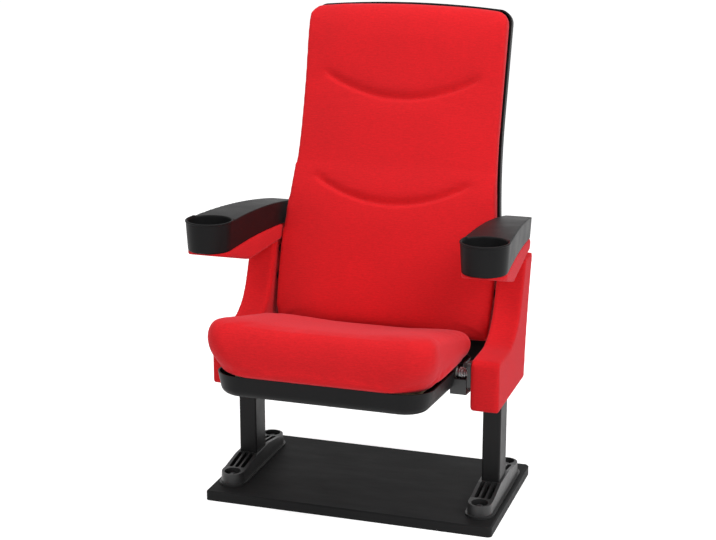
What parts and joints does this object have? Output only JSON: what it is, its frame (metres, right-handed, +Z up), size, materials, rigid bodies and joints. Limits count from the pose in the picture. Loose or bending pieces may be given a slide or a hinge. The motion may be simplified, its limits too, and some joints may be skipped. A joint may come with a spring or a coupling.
{
  "type": "cinema seat",
  "caption": "Tip-up auditorium seat on a display base, with a padded back and seat, upholstered sides, and armrests with cup holders.",
  "frame": {"origin": "centre of the base plate's underside", "axes": "+Z up, -Y the way the sitter faces, +X towards the arm on the right as seen from the front"},
  "size_m": [0.692, 0.7188, 1.0459],
  "materials": {
    "red_fabric": "woven",
    "black_plastic": "fine grain",
    "black_steel": "satin powder coat",
    "black_castings": "satin paint",
    "zinc_steel": "bright zinc",
    "black_screws": "black zinc",
    "bearing_plastic": "smooth",
    "rubber": "matte",
    "plywood": "plain",
    "base_board": "matte black paint"
  },
  "bodies": {
    "frame": {"back_board": "plywood", "back_cushion": "red_fabric", "back_shell": "black_plastic", "back_shell_screws": "black_screws", "base_plate": "base_board", "foot_bolts": "black_screws", "left_arm_body": "red_fabric", "left_arm_plate": "black_steel", "left_armrest": "black_plastic", "left_armrest_screws": "black_screws", "left_back_bolts": "black_steel", "left_back_bracket": "black_steel", "left_back_spacers": "black_steel", "left_foot": "black_castings", "left_hinge_block": "black_castings", "left_hinge_block_bolts": "black_screws", "left_leg": "black_steel", "left_panel_inner": "red_fabric", "left_panel_outer": "red_fabric", "left_panel_screws": "black_screws", "left_pivot_shaft": "zinc_steel", "left_return_spring": "zinc_steel", "left_shaft_nut": "zinc_steel", "left_stanchion_plate": "black_steel", "left_stop_buffers": "rubber", "right_arm_body": "red_fabric", "right_arm_plate": "black_steel", "right_armrest": "black_plastic", "right_armrest_screws": "black_screws", "right_back_bolts": "black_steel", "right_back_bracket": "black_steel", "right_back_spacers": "black_steel", "right_foot": "black_castings", "right_hinge_block": "black_castings", "right_hinge_block_bolts": "black_screws", "right_leg": "black_steel", "right_panel_inner": "red_fabric", "right_panel_outer": "red_fabric", "right_panel_screws": "black_screws", "right_pivot_shaft": "zinc_steel", "right_return_spring": "zinc_steel", "right_shaft_nut": "zinc_steel", "right_stanchion_plate": "black_steel", "right_stop_buffers": "rubber"},
    "seat": {"seat_cushion": "red_fabric", "seat_board": "plywood", "seat_pan": "black_plastic", "seat_pan_screws": "black_screws", "left_seat_arm": "black_castings", "right_seat_arm": "black_castings", "left_seat_arm_screws": "black_screws", "right_seat_arm_screws": "black_screws", "left_pivot_bush": "bearing_plastic", "right_pivot_bush": "bearing_plastic"}
  },
  "joints": [
    {"name": "seat_tip", "type": "hinge", "parent": "frame", "child": "seat", "pos_m": [0, -0.105, 0.325], "axis": [-1, 0, 0], "range_deg": [0, 75]}
  ]
}
